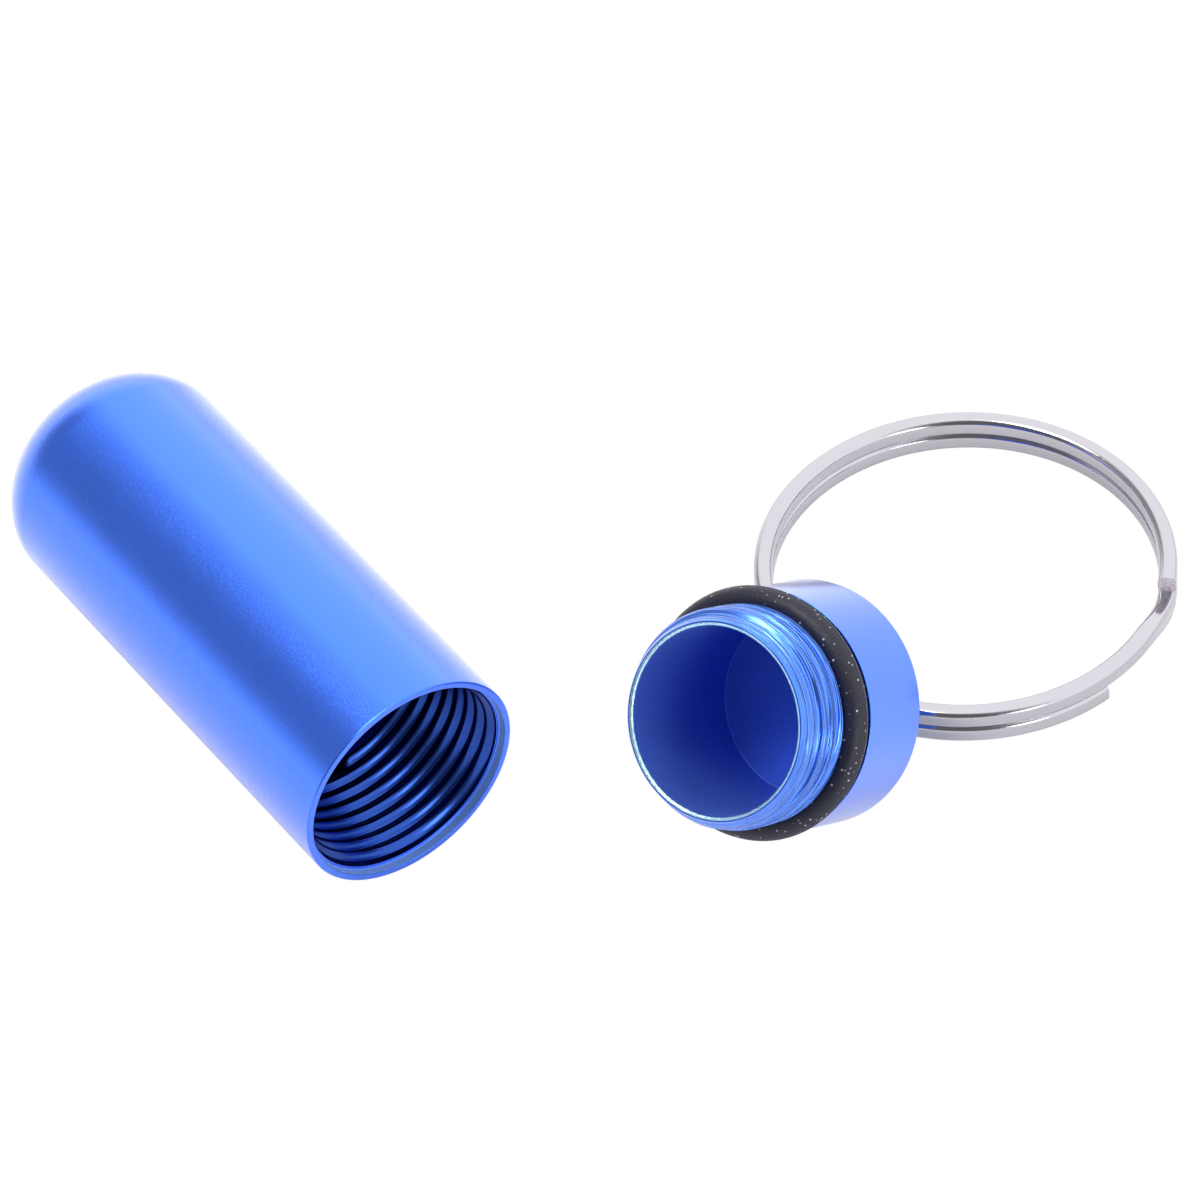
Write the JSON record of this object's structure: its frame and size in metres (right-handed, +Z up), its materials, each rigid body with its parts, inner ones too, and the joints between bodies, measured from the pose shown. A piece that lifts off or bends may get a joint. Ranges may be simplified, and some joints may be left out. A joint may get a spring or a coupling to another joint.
{
  "type": "pill case",
  "caption": "Pocket pill case shown open: a round-ended metal tube, a hollow screw cap with a rubber sealing ring, and a split ring through the cap's lug.",
  "frame": {"origin": "centre of the tube's mouth, in the plane of its rim", "axes": "+X along the tube's axis, out of its mouth; +Z up, away from the surface that the pieces lie on, which is one tube radius below the origin"},
  "size_m": [0.0634, 0.0666, 0.0204],
  "materials": {
    "tube_metal": "blue anodised, satin",
    "cap_metal": "blue anodised, bright turned",
    "seal_rubber": "matt moulded rubber",
    "ring_steel": "bright nickel plate on spring steel"
  },
  "bodies": {
    "case_tube": {"case_tube": "tube_metal"},
    "o_ring": {"o_ring": "seal_rubber"},
    "screw_cap": {"screw_cap": "cap_metal"},
    "split_ring": {"split_ring": "ring_steel"}
  },
  "joints": [
    {"name": "cap_carry", "type": "hinge", "parent": "case_tube", "child": "o_ring", "pos_m": [0.00707, 0.01188, -0.00434], "axis": [0.4687, 0.0065, -0.8833], "range_deg": [0, 123.92]},
    {"name": "cap_turn", "type": "hinge", "parent": "o_ring", "child": "screw_cap", "pos_m": [0.0111, 0.0263, -0.00209], "axis": [0.2157, -0.7377, 0.6397], "continuous": true},
    {"name": "ring_swing", "type": "hinge", "parent": "screw_cap", "child": "split_ring", "pos_m": [0.01019, 0.0294, -0.00477], "axis": [0.9598, 0.2807, 0], "range_deg": [-185.07, 114.93]}
  ]
}
